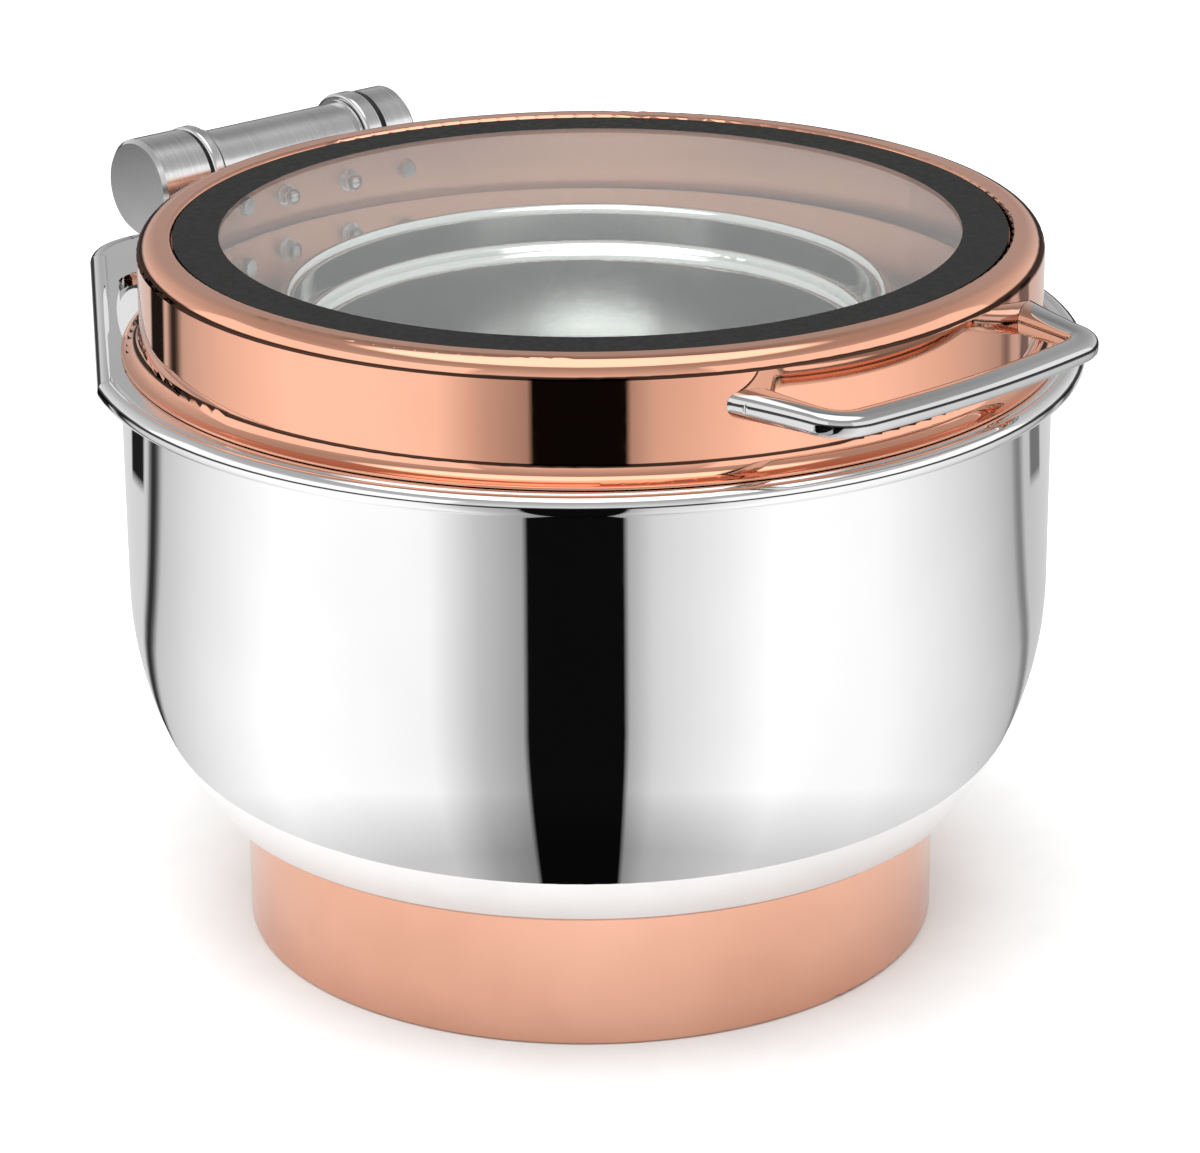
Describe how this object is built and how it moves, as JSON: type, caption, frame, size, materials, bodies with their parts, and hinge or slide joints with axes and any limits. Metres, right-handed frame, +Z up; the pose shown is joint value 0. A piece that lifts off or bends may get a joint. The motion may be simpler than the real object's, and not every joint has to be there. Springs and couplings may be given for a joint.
{
  "type": "round soup chafer",
  "caption": "Round soup chafer: polished steel vessel on a copper base ring, with a damped hinged copper lid that carries a glass window and a bowed steel handle.",
  "frame": {"origin": "centre of the base ring at the plane it stands on", "axes": "+Z up; the lid handle faces -Y and the hinge is at +Y; +X is to the right seen from the handle side"},
  "size_m": [0.385, 0.4405, 0.2869],
  "materials": {
    "copper": "polished rose-copper plating with a clear coat",
    "copper_satin": "satin rose-copper plating",
    "steel_polished": "mirror-polished stainless steel",
    "steel_brushed": "brushed stainless steel",
    "steel_plain": "plain zinc-plated or turned steel",
    "iron": "magnetic stainless disc, ground",
    "glass": "clear tempered glass, polished edge",
    "border": "matte black ceramic ink fired on the glass",
    "silicone": "matte black silicone",
    "black_plastic": "matte black acetal",
    "bronze": "sintered bronze",
    "black_steel": "black-oxide steel",
    "white_nylon": "natural nylon"
  },
  "bodies": {
    "vessel": {"base_ring": "copper_satin", "base_studs": "steel_plain", "base_washers": "steel_plain", "base_nuts": "steel_plain", "heat_disc": "iron", "bowl_shell": "steel_polished", "rim_deck": "steel_polished", "hinge_pedestal": "steel_brushed", "pedestal_screws": "black_steel", "damper_barrel": "steel_brushed", "barrel_covers": "steel_polished", "shaft_bushes": "bronze", "shaft_seals": "silicone", "damper_stator": "steel_plain"},
    "lid": {"lid_frame": "copper", "window_glass": "glass", "window_border": "border", "window_seal": "silicone", "hinge_bracket": "steel_brushed", "bracket_bolts": "steel_plain", "dome_nuts": "steel_polished", "disc_nuts": "steel_brushed", "hinge_shaft": "steel_plain", "damper_rotor": "steel_plain", "thrust_washers": "black_plastic", "knuckle_left": "steel_polished", "knuckle_right": "steel_polished", "cap_spacers": "black_plastic", "cap_left": "steel_brushed", "cap_right": "steel_brushed", "cap_screws": "black_steel", "lid_handle": "steel_polished", "handle_screws": "steel_plain", "handle_washers": "white_nylon"},
    "adapter_ring": {"pan_ring": "steel_polished"},
    "soup_pan": {"food_pan": "steel_polished"}
  },
  "joints": [
    {"name": "lid_hinge", "type": "hinge", "parent": "vessel", "child": "lid", "pos_m": [0, 0.2034, 0.26625], "axis": [-1, 0, 0], "range_deg": [0, 90]},
    {"name": "ring_lift", "type": "slide", "parent": "vessel", "child": "adapter_ring", "axis": [0, 0, 1], "range_m": [0, 0.004]},
    {"name": "pan_lift", "type": "slide", "parent": "adapter_ring", "child": "soup_pan", "axis": [0, 0, 1], "range_m": [0, 0.018]}
  ]
}
